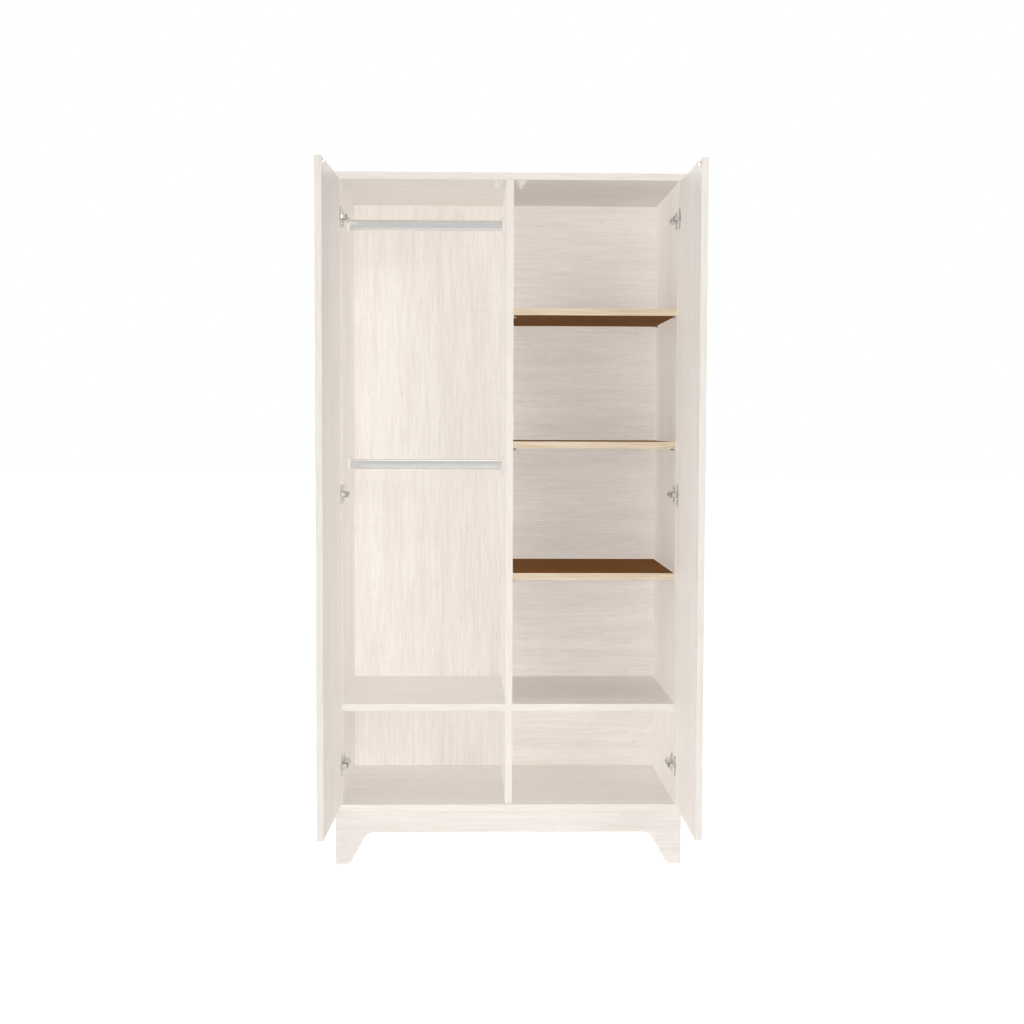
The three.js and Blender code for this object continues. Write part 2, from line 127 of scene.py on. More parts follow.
class WardrobeFittings(bpy.types.PropertyGroup):
    """Sizes and colours of the metal and plastic fittings."""

    screw_head: length_property("Screw head", "Radius of a fixing screw's head", 3.4)
    chamfer: length_property("Chamfer", "Eased edge on pressed and moulded fittings", 0.35)
    rail_wall: length_property("Rail wall", "Wall thickness of the oval rails", 1.2)
    segments: IntProperty(
        name="Round segments", description="Sides of a small round piece", default=32, min=12, max=96
    )
    chrome: colour_property("Chrome", "Plating on the rails", "#F0F0EE")
    nickel: colour_property("Nickel", "Plating on the hinges and pins", "#E2E1DC")
    plastic: colour_property("White plastic", "Latches and rail sockets", "#D3D1CC")


class WardrobeStage(bpy.types.PropertyGroup):
    """The camera and the lights."""

    camera_place: FloatVectorProperty(
        name="Camera place", description="Where the camera stands", default=(-0.11796, -4.85905, 1.14043),
        subtype="TRANSLATION", unit="LENGTH",
    )
    camera_turn: FloatVectorProperty(
        name="Camera turn", description="The camera's rotation",
        default=[math.radians(degrees) for degrees in (86.1814, -0.1876, -1.4763)],
        subtype="EULER", unit="ROTATION",
    )
    lens: FloatProperty(
        name="Lens", description="Focal length on the sensor", default=65.439, min=1, unit="CAMERA"
    )
    rise: FloatProperty(name="Lens rise", description="Upward shift of the lens", default=0.03746)
    sky: strength_property("Sky light", "Light from all round", 0.13)
    gloss: strength_property("Gloss light", "How bright the studio looks in metal", 0.65)
    key: strength_property("Key light", "Soft light from the front right", 0.4)
    top: strength_property("Top light", "Broad light from overhead", 0.9)
    front: strength_property("Front fill", "Fill from the front", 1.45)
    rear: strength_property("Rear light", "Light from behind", 0.7)
    left: strength_property("Left fill", "Fill from the left", 1.85)
    right: strength_property("Right fill", "Fill from the right", 1.1)
    above: strength_property("Upper fill", "Fill from above", 0.8)
    below: strength_property("Lower fill", "Fill from below", 1.0)


# ---- Working with meshes ----


def work_on(*pieces):
    """Selects only these pieces and makes the first one active."""
    bpy.ops.object.select_all(action="DESELECT")
    for piece in pieces:
        piece.select_set(True)
    bpy.context.view_layer.objects.active = pieces[0]


def start_edit(piece):
    work_on(piece)
    bpy.ops.object.mode_set(mode="EDIT")
    bpy.ops.mesh.select_all(action="SELECT")


def end_edit():
    bpy.ops.object.mode_set(mode="OBJECT")


def select_where(piece, parts, test):
    """In edit mode, selects only the verts, edges or faces that pass the test."""
    bpy.context.tool_settings.mesh_select_mode = [parts == kind for kind in ("verts", "edges", "faces")]
    bpy.ops.mesh.select_all(action="DESELECT")
    shape = bmesh.from_edit_mesh(piece.data)
    for part in getattr(shape, parts):
        if test(part):
            part.select_set(True)
    shape.select_flush_mode()
    bmesh.update_edit_mesh(piece.data)


def settle(name):
    """Names the new primitive, and moves its place, turn and size into its mesh."""
    piece = bpy.context.active_object
    piece.name = name
    work_on(piece)
    bpy.ops.object.transform_apply(location=True, rotation=True, scale=True)
    return piece


def face_outwards(piece):
    start_edit(piece)
    bpy.ops.mesh.remove_doubles(threshold=0.002 * MM)
    bpy.ops.mesh.normals_make_consistent(inside=False)
    end_edit()


def block(name, low, high):
    """A box between two corners."""
    low, high = Vector(low), Vector(high)
    bpy.ops.object.select_all(action="DESELECT")
    bpy.ops.mesh.primitive_cube_add(size=1, location=(low + high) / 2, scale=high - low)
    return settle(name)


def turned(name, rings, segments):
    """A solid turned about +Z, drawn ring by ring as (radius, height) from its underside."""
    radius, height = rings[0]
    bpy.ops.object.select_all(action="DESELECT")
    bpy.ops.mesh.primitive_circle_add(
        vertices=segments, radius=radius, fill_type="NGON", location=(0, 0, height)
    )
    piece = settle(name)
    start_edit(piece)
    for (radius, height), (next_radius, next_height) in zip(rings, rings[1:]):
        rise = (0, 0, next_height - height)
        grow = next_radius / radius
        bpy.ops.mesh.extrude_region_move(TRANSFORM_OT_translate={"value": rise})
        bpy.ops.transform.resize(value=(grow, grow, 1), center_override=(0, 0, next_height))
    end_edit()
    face_outwards(piece)
    return piece


def oval_bar(name, radius, rise, start, end, segments):
    """A bar along +X with an upright oval section: two half circles whose centres are 2 * rise apart."""
    start, end = Vector(start), Vector(end)
    half_step = Matrix.Rotation(math.pi / segments, 4, "Z")
    lay_down = Matrix.Rotation(math.pi / 2, 4, "Y")
    bpy.ops.object.select_all(action="DESELECT")
    bpy.ops.mesh.primitive_cylinder_add(
        vertices=segments, radius=radius, depth=(end - start).length,
        location=(start + end) / 2, rotation=(lay_down @ half_step).to_euler(),
    )
    piece = settle(name)
    start_edit(piece)
    for way in (-1, 1):
        select_where(piece, "verts", lambda vert: (vert.co.z - start.z) * way > 0)
        bpy.ops.transform.translate(value=(0, 0, way * rise))
    end_edit()
    return piece


def apply_modifier(piece, kind, **settings):
    work_on(piece)
    modifier = piece.modifiers.new(kind.title(), kind)
    for setting, value in settings.items():
        setattr(modifier, setting, value)
    bpy.ops.object.modifier_apply(modifier=modifier.name)


def discard(piece):
    bpy.data.objects.remove(piece, do_unlink=True)


def combine(piece, tool, operation):
    """Joins a tool to a piece, or cuts it out of the piece, and removes the tool."""
    apply_modifier(piece, "BOOLEAN", operation=operation, object=tool, solver="EXACT")
    discard(tool)


def smooth(piece, degrees):
    """Shades a piece smooth, except at edges that turn by more than some degrees."""
    work_on(piece)
    bpy.ops.object.shade_smooth_by_angle(angle=math.radians(degrees))


def round_corners(piece, radius, test):
    """Rounds the edges that pass the test."""
    start_edit(piece)
    select_where(piece, "edges", test)
    bpy.ops.mesh.bevel(offset=radius, segments=CORNER_STEPS, affect="EDGES")
    end_edit()


def ease_edges(piece, width, steps=2, above=35):
    """Eases every edge that turns by more than some degrees, and leaves flat faces crisp."""
    apply_modifier(
        piece, "BEVEL", width=width, segments=steps, limit_method="ANGLE",
        angle_limit=math.radians(above), use_clamp_overlap=True,
    )
    smooth(piece, CRISP)


def merged_copy(node, name):
    """A copy of a CAD node as one welded shape with whole flat faces."""
    piece = bpy.data.objects.new(name, frame["nodes"][node].data.copy())
    bpy.context.collection.objects.link(piece)
    piece.data.materials.clear()
    work_on(piece)
    bpy.ops.mesh.customdata_custom_splitnormals_clear()
    start_edit(piece)
    bpy.ops.mesh.remove_doubles(threshold=WELD)
    bpy.ops.mesh.dissolve_limited(angle_limit=math.radians(1))
    end_edit()
    return piece


def placed_copy(model, name, matrix):
    """A copy of a model with a mesh of its own, put in place through that mesh."""
    piece = bpy.data.objects.new(name, model.data.copy())
    bpy.context.collection.objects.link(piece)
    piece.data.transform(matrix)
    if matrix.is_negative:
        piece.data.flip_normals()
    return piece


def joined(name, pieces):
    """Several pieces as one object."""
    work_on(*pieces)
    bpy.ops.object.join()
    pieces[0].name = name
    return pieces[0]


def facing(direction, place):
    """The matrix that stands a piece modelled on +Z at a place, pointing in a direction."""
    turn = Vector(direction).to_track_quat("Z", "Y").to_matrix().to_4x4()
    return Matrix.Translation(place) @ turn


def coat(piece, material):
    """One finish all over."""
    piece.data.materials.clear()
    piece.data.materials.append(material)
    return piece


def fit(piece, body, slot, *nodes):
    """Hangs a finished piece on its body, in place of the CAD nodes that it stands for."""
    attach(piece, body)
    if nodes:
        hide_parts(*nodes)


# ---- Materials ----


def add_node(tree, kind, inputs=None, **settings):
    """Adds a shader node. An input given as a node takes that node's first working output, one given
    as a socket is linked to it, and any other value is set on the input."""
    node = tree.nodes.new(f"ShaderNode{kind}")
    for setting, value in settings.items():
        setattr(node, setting, value)
    for name, value in (inputs or {}).items():
        if isinstance(value, bpy.types.Node):
            value = next(output for output in value.outputs if output.enabled)
        if isinstance(value, bpy.types.NodeSocket):
            tree.links.new(value, node.inputs[name])
        else:
            node.inputs[name].default_value = value
    return node


# How a Math node is set to give input 0 * input 1 + input 2, and a Mix node to mix colours, from
# input 6 at an amount of 0 to input 7 at an amount of 1.
SCALED = {"operation": "MULTIPLY_ADD"}
COLOURS = {"data_type": "RGBA"}


def new_finish(name):
    """An empty material, and the object coordinates that its patterns read."""
    material = bpy.data.materials.new(name)
    material.use_nodes = True
    tree = material.node_tree
    tree.nodes.clear()
    return material, tree, add_node(tree, "TexCoord").outputs["Object"]


def blotches(tree, coordinates, size, low=0.3, high=0.7, detail=3.0):
    """Noise of that size in millimetres on each axis, stretched to run from 0 to 1."""
    scale = [1 / (millimetres * MM) for millimetres in size]
    mapping = add_node(tree, "Mapping", {"Vector": coordinates, "Scale": scale})
    noise = add_node(tree, "TexNoise", {"Vector": mapping, "Scale": 1.0, "Detail": detail})
    spread = {"Value": noise, "From Min": low, "From Max": high}
    return add_node(tree, "MapRange", spread)


def wood_decor(name, along, pale, dark, pore, roughness=0.5, fibre=5.0, depth=0.12, gloss=0.4):
    """Melamine paper printed and embossed with wood grain: soft streaks, a broad drifting figure and
    short pores, under a matt film whose sheen follows the embossing. along is the grain's axis, and
    fibre and depth are the streaks' width and the embossing's depth in millimetres. Each pattern is
    drawn by its width and length, the stretch of the noise that it uses, and its detail."""
    material, tree, coordinates = new_finish(name)

    def grain(width, length, low, high, detail):
        size = [length if axis == along else width for axis in "XYZ"]
        return blotches(tree, coordinates, size, low, high, detail)

    # Real fibres are under 1 mm wide. They are drawn about 5 mm wide, so that they show.
    streaks = grain(fibre, fibre * 22, 0.32, 0.68, 4.0)
    figure = grain(fibre * 6, fibre * 90, 0.3, 0.7, 2.0)
    cloud = grain(fibre * 45, fibre * 120, 0.35, 0.65, 1.0)
    streak_share, figure_share, cloud_share = 0.5, 0.32, 0.18
    tone = add_node(tree, "Math", {0: cloud, 1: cloud_share, 2: 0}, **SCALED)
    tone = add_node(tree, "Math", {0: figure, 1: figure_share, 2: tone}, **SCALED)
    tone = add_node(tree, "Math", {0: streaks, 1: streak_share, 2: tone}, **SCALED)
    ground = add_node(tree, "Mix", {0: tone, 6: dark, 7: pale}, **COLOURS)
    # Pores are drawn 1.8 mm wide, where real ones are 0.3 mm.
    pore_width, pore_length, pore_share, pore_dip = 1.8, 26, 0.36, -0.8
    pores = grain(pore_width, pore_length, 0.6, 0.72, 1.0)
    cover = add_node(tree, "Math", {0: pores, 1: pore_share, 2: 0}, **SCALED)
    colour = add_node(tree, "Mix", {0: cover, 6: ground, 7: pore}, **COLOURS)
    height = add_node(tree, "Math", {0: streaks, 1: 0.4, 2: 0.5}, **SCALED)
    height = add_node(tree, "Math", {0: pores, 1: pore_dip, 2: height}, **SCALED)
    sheen = add_node(tree, "Math", {0: streaks, 1: 0.12, 2: roughness - 0.06}, **SCALED)
    bump = add_node(tree, "Bump", {"Height": height, "Distance": depth * MM})
    shader = add_node(tree, "BsdfPrincipled", {
        "Base Color": colour, "Roughness": sheen, "Specular IOR Level": gloss, "Normal": bump,
    })
    add_node(tree, "OutputMaterial", {"Surface": shader})
    return material


def band_finish(name, along, colour, shade):
    """ABS edge band: plain plastic strip with a faint printed grain and a slight satin gloss."""
    material, tree, coordinates = new_finish(name)
    streak_width, streak_length, depth = 4, 90, 0.04
    size = [streak_length if axis == along else streak_width for axis in "XYZ"]
    streaks = blotches(tree, coordinates, size)
    amount = add_node(tree, "Math", {0: streaks, 1: -0.6, 2: 0.6}, **SCALED)
    tint = add_node(tree, "Mix", {0: amount, 6: colour, 7: shade}, **COLOURS)
    bump = add_node(tree, "Bump", {"Height": streaks, "Distance": depth * MM})
    shader = add_node(tree, "BsdfPrincipled", {
        "Base Color": tint, "Roughness": 0.42, "Normal": bump,
    })
    add_node(tree, "OutputMaterial", {"Surface": shader})
    return material


def raw_board(name, coarse, fine, dark, pale, speck, speck_share, roughness, bumpy, depth):
    """Raw wood-based board: a coarse pattern between two tones, under finer specks of a third.

    bumpy is the pattern, 0 for the coarse and 1 for the fine, that stands up by depth millimetres."""
    material, tree, coordinates = new_finish(name)
    patterns = [blotches(tree, coordinates, *pattern) for pattern in (coarse, fine)]
    ground = add_node(tree, "Mix", {0: patterns[0], 6: srgb(dark), 7: srgb(pale)}, **COLOURS)
    amount = add_node(tree, "Math", {0: patterns[1], 1: speck_share, 2: 0}, **SCALED)
    colour = add_node(tree, "Mix", {0: amount, 6: ground, 7: srgb(speck)}, **COLOURS)
    bump = add_node(tree, "Bump", {"Height": patterns[bumpy], "Distance": depth * MM})
    shader = add_node(tree, "BsdfPrincipled", {
        "Base Color": colour, "Roughness": roughness, "Normal": bump,
    })
    add_node(tree, "OutputMaterial", {"Surface": shader})
    return material


def chipboard():
    """Raw particle board: pressed flakes a few millimetres long, straw to brown, quite rough."""
    flakes = ((3.0, 3.0, 2.0), 0.35, 0.65, 2.0)
    grit = ((0.9, 0.9, 0.9), 0.3, 0.7, 1.0)
    return raw_board(
        "raw_chipboard", flakes, grit, "#A88457", "#D9BE93", "#7E5E3A",
        speck_share=0.35, roughness=0.85, bumpy=0, depth=0.3,
    )


def fibreboard():
    """Raw rear of thin hardboard: matted brown fibres, dull and slightly cloudy."""
    cloud = ((120, 120, 120), 0.3, 0.7, 3.0)
    fibres = ((1.2, 1.2, 1.2), 0.3, 0.7, 3.0)
    return raw_board(
        "raw_fibreboard", cloud, fibres, "#A88359", "#B58F65", "#7C5C3C",
        speck_share=0.3, roughness=0.8, bumpy=1, depth=0.15,
    )


def plated_steel(name, colour, roughness, scratches):
    """Plated pressed steel: a bright metal whose gloss wanders a little with handling marks."""
    material, tree, coordinates = new_finish(name)
    marks = blotches(tree, coordinates, (22, 22, 22), 0.3, 0.7, 4.0)
    # Polishing lines are drawn 0.6 mm wide, where real ones are under 0.1 mm.
    lines = blotches(tree, coordinates, (0.6, 0.6, 9.0), 0.35, 0.65, 2.0)
    brushed = add_node(tree, "Math", {0: lines, 1: scratches, 2: roughness - scratches}, **SCALED)
    wander = add_node(tree, "Math", {0: marks, 1: scratches * 1.6, 2: brushed}, **SCALED)
    dull = add_node(tree, "Math", {0: marks, 1: scratches * 2.4, 2: 0}, **SCALED)
    tint = add_node(tree, "Mix", {0: dull, 6: colour, 7: srgb("#9A9A98")}, **COLOURS)
    bump = add_node(tree, "Bump", {"Height": lines, "Distance": 0.2 * scratches * MM})
    shader = add_node(tree, "BsdfPrincipled", {
        "Base Color": tint, "Metallic": 1.0, "Roughness": wander, "Normal": bump,
    })
    add_node(tree, "OutputMaterial", {"Surface": shader})
    return material


def moulded_plastic(name, colour):
    """Moulded ABS: white, softly glossy, with the fine orange peel of a spark-eroded mould."""
    material, tree, coordinates = new_finish(name)
    # The peel is drawn 0.8 mm across, where a real one is about 0.2 mm.
    peel = blotches(tree, coordinates, (0.8, 0.8, 0.8), 0.3, 0.7, 2.0)
    flow = blotches(tree, coordinates, (14, 14, 14), 0.3, 0.7, 2.0)
    amount = add_node(tree, "Math", {0: flow, 1: 0.12, 2: 0}, **SCALED)
    tint = add_node(tree, "Mix", {0: amount, 6: colour, 7: srgb("#C2BFB8")}, **COLOURS)
    sheen = add_node(tree, "Math", {0: peel, 1: 0.08, 2: 0.34}, **SCALED)
    bump = add_node(tree, "Bump", {"Height": peel, "Distance": 0.03 * MM})
    shader = add_node(tree, "BsdfPrincipled", {
        "Base Color": tint, "Roughness": sheen, "Normal": bump,
    })
    add_node(tree, "OutputMaterial", {"Surface": shader})
    return material


def studio_floor():
    """White acrylic sheet lit from below: an even white with hardly any tone or shadow of its own."""
    material, tree, coordinates = new_finish("lit_white_acrylic")
    tone = blotches(tree, coordinates, (900, 900, 900), 0.2, 0.8, 2.0)
    white = {0: tone, 6: srgb("#F6F5F4"), 7: srgb("#FAFAFA")}
    colour = add_node(tree, "Mix", white, **COLOURS)
    seen = add_node(tree, "LightPath").outputs["Is Camera Ray"]
    glow = add_node(tree, "Math", {0: seen, 1: 0.3, 2: 0}, **SCALED)
    bump = add_node(tree, "Bump", {"Height": tone, "Distance": 0.05 * MM})
    shader = add_node(tree, "BsdfPrincipled", {
        "Base Color": colour, "Roughness": 0.9, "Emission Color": srgb("#FFFFFF"),
        "Emission Strength": glow, "Specular IOR Level": 0.1, "Normal": bump,
    })
    add_node(tree, "OutputMaterial", {"Surface": shader})
    return material


FINISHES = {}


def finish(name):
    """A material by name, made the first time that it is asked for."""
    boards = bpy.context.scene.wardrobe_boards
    fittings = bpy.context.scene.wardrobe_fittings
    makers = {
        "chipboard": chipboard,
        "fibreboard": fibreboard,
        "chrome": lambda: plated_steel("chrome_plate", fittings.chrome, roughness=0.12, scratches=0.02),
        "nickel": lambda: plated_steel(
            "nickel_plated_steel", fittings.nickel, roughness=0.3, scratches=0.05
        ),
        "zinc": lambda: plated_steel(
            "zinc_plated_screw", srgb("#C9CACB"), roughness=0.36, scratches=0.04
        ),
        "plastic": lambda: moulded_plastic("white_abs", fittings.plastic),
    }
    for axis, word in (("X", "across"), ("Y", "inward"), ("Z", "upright")):
        makers[f"whitewash_{word}"] = lambda axis=axis, word=word: wood_decor(
            f"whitewashed_melamine_{word}", axis, boards.pale, boards.dark, boards.pore
        )
        makers[f"back_{word}"] = lambda axis=axis, word=word: wood_decor(
            f"printed_back_board_{word}", axis, boards.pale, boards.dark, boards.pore,
            roughness=0.55, fibre=4.5, depth=0.06,
        )
        makers[f"band_{word}"] = lambda axis=axis, word=word: band_finish(
            f"pale_abs_edge_band_{word}", axis, boards.edge, boards.dark
        )
    makers["oak_across"] = lambda: wood_decor(
        "oak_melamine_across", "X", boards.oak_pale, boards.oak_dark, srgb("#341E06"),
        roughness=0.55, gloss=0.01,
    )
    makers["oak_band"] = lambda: band_finish("oak_edge_band", "X", boards.oak_edge, srgb("#AE9470"))
    if name not in FINISHES:
        FINISHES[name] = makers[name]()
    return FINISHES[name]


# ---- Boards ----


def reach(piece, side):
    """How far a piece reaches in the direction of one of its sides."""
    return max(vert.co.dot(side) for vert in piece.data.vertices)


def band_and_ease(piece, face, band, banded, raw=()):
    """Bands some sides of a board, leaves others raw, and eases its corners.

    face, band and the raw chipboard are the piece's three finishes, in that order."""
    boards = bpy.context.scene.wardrobe_boards
    for material in (face, band, finish("chipboard")):
        piece.data.materials.append(material)
    limits = [(side, reach(piece, side) - boards.band) for side in banded]
    start_edit(piece)
    for side, limit in limits:
        bpy.ops.mesh.select_all(action="SELECT")
        bpy.ops.mesh.bisect(plane_co=side * limit, plane_no=side)
    end_edit()
    for polygon in piece.data.polygons:
        polygon.material_index = 0
        if any(polygon.center.dot(side) > limit for side, limit in limits):
            polygon.material_index = 1
        elif any(polygon.normal.dot(side) > FACING for side in raw):
            polygon.material_index = 2
    ease_edges(piece, boards.softening)


def carcass_board(node, grain, banded):
    """One board of the carcass, raw at the rear. The band's grain runs along the front edge."""
    piece = merged_copy(node, f"{node}_banded")
    band_grain = "across" if grain == "across" else "upright"
    band_and_ease(piece, finish(f"whitewash_{grain}"), finish(f"band_{band_grain}"), banded, (REAR,))
    fit(piece, "carcass", "whitewashed_board", node)


def back_panel(side):
    """A thin back panel, printed in front and raw behind."""
    boards = bpy.context.scene.wardrobe_boards
    node = f"back_panel_{side}"
    grain = "upright" if side == "left" else "across"
    piece = merged_copy(node, f"{node}_printed")
    for material in (finish(f"back_{grain}"), finish("fibreboard")):
        piece.data.materials.append(material)
    for polygon in piece.data.polygons:
        polygon.material_index = 0 if polygon.normal.dot(FRONT) > FACING else 1
    ease_edges(piece, boards.softening / 3, steps=1)
    fit(piece, "carcass", "back_board", node)


def back_nails(side):
    """Flat round nail heads along the panel's edges, seen from behind."""
    boards = bpy.context.scene.wardrobe_boards
    radius, proud = boards.nail_head, 0.5 * MM
    rings = [(radius * 0.6, -1.2 * MM), (radius, -0.1 * MM), (radius, proud * 0.5), (radius * 0.8, proud)]
    model = coat(turned("nail_model", rings, 12), finish("zinc"))
    low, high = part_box(f"back_panel_{side}")
    inset = 4 * MM
    foot, head = low.z + inset * 2, high.z - inset * 2
    places = []
    for height in (foot, head):
        steps = round((high.x - low.x) / boards.nail_spacing)
        for step in range(1, steps):
            places.append((low.x + (high.x - low.x) * step / steps, height))
    steps = round((high.z - low.z) / boards.nail_spacing)
    for across in (low.x + inset, high.x - inset):
        for step in range(steps + 1):
            places.append((across, foot + (head - foot) * step / steps))
    heads = [
        placed_copy(model, f"nail_{number}", facing(REAR, (across, high.y, height)))
        for number, (across, height) in enumerate(places)
    ]
    discard(model)
    fit(joined(f"back_nails_{side}", heads), "carcass", "nickel_steel")


def plinth_board(node, grain):
    """A footed plinth board with raw upper and lower edges. The front and rear ones have banded ends."""
    piece = merged_copy(node, f"{node}_banded")
    ends = (LEFT, RIGHT) if grain == "across" else ()
    band_and_ease(piece, finish(f"whitewash_{grain}"), finish("band_upright"), ends, (DOWN, UP))
    fit(piece, "carcass", "whitewashed_board", node)


def loose_shelf(node):
    """An oak-grained shelf, banded on all four edges."""
    piece = merged_copy(node, f"{node}_oak")
    band_and_ease(piece, finish("oak_across"), finish("oak_band"), (FRONT, REAR, LEFT, RIGHT))
    fit(piece, "carcass", "oak_shelf", node)


def door_board(side):
    """A plain door, banded on its four edges, which turn with it, and raw in the bores for its cups."""
    node = f"door_{side}"
    piece = merged_copy(node, f"{node}_banded")
    turn = Matrix.Rotation(door_opening(side), 3, "Z")
    edges = (turn @ LEFT, turn @ RIGHT, DOWN, UP)
    band_and_ease(piece, finish("whitewash_upright"), finish("band_upright"), edges)
    # A bore's wall is cut into small facets, all of them clear of the door's long edges.
    largest_facet, clear = 40 * MM * MM, 3 * MM
    for polygon in piece.data.polygons:
        bored = abs(polygon.normal.z) < 0.99 and polygon.area < largest_facet
        inside = all(abs(polygon.center.dot(edge) - reach(piece, edge)) > clear for edge in edges[:2])
        if bored and inside:
            polygon.material_index = 2
    fit(piece, f"{side}_door", "whitewashed_door", node)


# ---- Small fittings ----


def screw_model(head, segments):
    """A pan-head screw standing on +Z with its seat at the origin, with a cross recess."""
    rise = head * 0.55
    slot_long, slot_wide = head * 0.55, head * 0.13  # from its middle
    rim = 0.35  # the share of its rise at which the head starts to dome
    rings = [(head * 0.5, -2.0 * MM), (head * 0.5, 0), (head, 0), (head, rise * rim)]
    rings += [(head * math.cos(a), rise * (rim + (1 - rim) * math.sin(a))) for a in (0.5, 0.9, 1.2)]
    screw = turned("screw_model", rings, segments)
    for turn in (0, math.pi / 2):
        half = Vector((slot_long, slot_wide, 0))
        if turn:
            half = half.yxz
        slot = block("slot", -half + Vector((0, 0, rise * 0.3)), half + Vector((0, 0, rise * 2)))
        combine(screw, slot, "DIFFERENCE")
    smooth(screw, ROUND)
    return coat(screw, finish("zinc"))


def screws(places, head):
    """Screws at (direction, place) pairs."""
    model = screw_model(head, 20)
    made = [placed_copy(model, f"screw_{i}", facing(way, at)) for i, (way, at) in enumerate(places)]
    discard(model)
    return made


def shelf_pins():
    """Turned steel pins: a shank in the board, a thin collar and the peg that the shelf rests on."""
    segments = bpy.context.scene.wardrobe_fittings.segments
    shank, collar, peg, sunk = 2.5 * MM, 4 * MM, 3 * MM, 8 * MM
    rings = [(shank * 0.8, -sunk), (shank, 0.4 * MM - sunk), (shank, 0), (collar * 0.95, 0)]
    rings += [(collar, 0.15 * MM), (collar, 0.65 * MM), (collar * 0.95, 0.8 * MM), (peg, 0.8 * MM)]
    rings += [(peg, 8.4 * MM), (peg * 0.92, 8.8 * MM), (peg * 0.75, 9 * MM)]
    model = turned("pin_model", rings, segments)
    smooth(model, CRISP)
    coat(model, finish("nickel"))
    for shelf in ("upper", "middle", "lower"):
        for end, way in (("inner", RIGHT), ("outer", LEFT)):
            for row in ("front", "rear"):
                node = f"shelf_{shelf}_pin_{end}_{row}"
                low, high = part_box(node)
                face = (low.x if end == "inner" else high.x) + way.x * sunk
                place = (face, (low.y + high.y) / 2, (low.z + high.z) / 2)
                pin = placed_copy(model, f"turned_pin_{shelf}_{end}_{row}", facing(way, place))
                fit(pin, "carcass", "nickel_steel", node)
    discard(model)


def hanging_rail(level):
    """An oval tube, open at its ends."""
    fittings = bpy.context.scene.wardrobe_fittings
    node = f"hanging_rail_{level}"
    low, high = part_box(node)
    middle = (low + high) / 2
    radius = (high.y - low.y) / 2
    rise = (high.z - low.z) / 2 - radius
    start, end = (low.x, middle.y, middle.z), (high.x, middle.y, middle.z)
    rail = oval_bar(f"oval_rail_{level}", radius, rise, start, end, fittings.segments * 2)
    past = Vector((1 * MM, 0, 0))
    inner = radius - fittings.rail_wall
    hollow = oval_bar("hollow", inner, rise, Vector(start) - past, Vector(end) + past, fittings.segments * 2)
    combine(rail, hollow, "DIFFERENCE")
    ease_edges(rail, **BURR)
    fit(coat(rail, finish("chrome")), "carcass", "chrome_rail", node)


def rail_bracket(level, end):
    """A moulded socket: an oval plate with a screw at each end and a raised collar round the rail."""
    fittings = bpy.context.scene.wardrobe_fittings
    node = f"rail_bracket_{level}_{end}"
    low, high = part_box(node)
    rail_low, rail_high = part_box(f"hanging_rail_{level}")
    middle = (low + high) / 2
    way = RIGHT if end == "outer" else LEFT
    face = Vector((low.x if end == "outer" else high.x, middle.y, middle.z))
    plate, wall = 2.5 * MM, 2.2 * MM
    rail_radius = (rail_high.y - rail_low.y) / 2
    rail_rise = (rail_high.z - rail_low.z) / 2 - rail_radius
    ear = 7 * MM
    ear_rise = (high.z - low.z) / 2 - ear
    count = fittings.segments * 2

    def bar(name, radius, rise, start, end_at):
        points = sorted((face + way * start, face + way * end_at), key=lambda point: point.x)
        return oval_bar(name, radius, rise, *points, count)

    socket = bar(f"rail_socket_{level}_{end}", ear, ear_rise, 0, plate)
    stand = plate + 2.5 * MM
    combine(socket, bar("collar", rail_radius + wall, rail_rise, 0, stand), "UNION")
    gap, past = 0.3 * MM, 1 * MM
    combine(socket, bar("seat", rail_radius + gap, rail_rise, plate, stand + past), "DIFFERENCE")
    ease_edges(socket, fittings.chamfer * 1.4, above=SHARP)
    coat(socket, finish("plastic"))
    seats = [(way, face + way * plate + UP * (up * ear_rise)) for up in (-1, 1)]
    piece = joined(f"rail_socket_{level}_{end}", [socket, *screws(seats, fittings.screw_head)])
    fit(piece, "carcass", "white_plastic", node)


# ---- Concealed hinges ----
# In a hinge's own frame the door's axis is +Z, +X runs from the door's hinge edge along the shut
# door, and +Y runs into the wardrobe. The left side uses it as it is, and the right mirrors it.


def door_opening(side):
    """How far a door stands open at rest, as a turn about +Z from shut."""
    shut = JOINTS[f"{side}_door_hinge"]["range_deg"][1 if side == "left" else 0]
    return math.radians(-shut)


def hinge_frame(side, share, height=0.0):
    """From a hinge's own frame to where it rests. share is the part of the door's turn that it makes."""
    pivot = JOINTS[f"{side}_door_hinge"]["pos_m"]
    mirror = Matrix.Scale(-1 if side == "right" else 1, 4, RIGHT)
    turn = Matrix.Rotation(door_opening(side) * share, 4, "Z")
    return Matrix.Translation((pivot[0], pivot[1], height)) @ turn @ mirror


def hinge_height(side, level):
    low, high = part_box(f"hinge_cup_{side}_{level}")
    return (low.z + high.z) / 2


# The part of its door's turn that a link makes.
LINK_SHARE = abs(
    JOINTS["left_hinge_link_turn"]["range_deg"][1] / JOINTS["left_door_hinge"]["range_deg"][1]
)


def hinge_model(part, share):
    """The left top hinge's CAD part, welded and brought into the hinge's own frame."""
    piece = merged_copy(f"hinge_{part}_left_top", f"{part}_model")
    back = hinge_frame("left", share, hinge_height("left", "top")).inverted()
    piece.data.transform(back)
    return piece


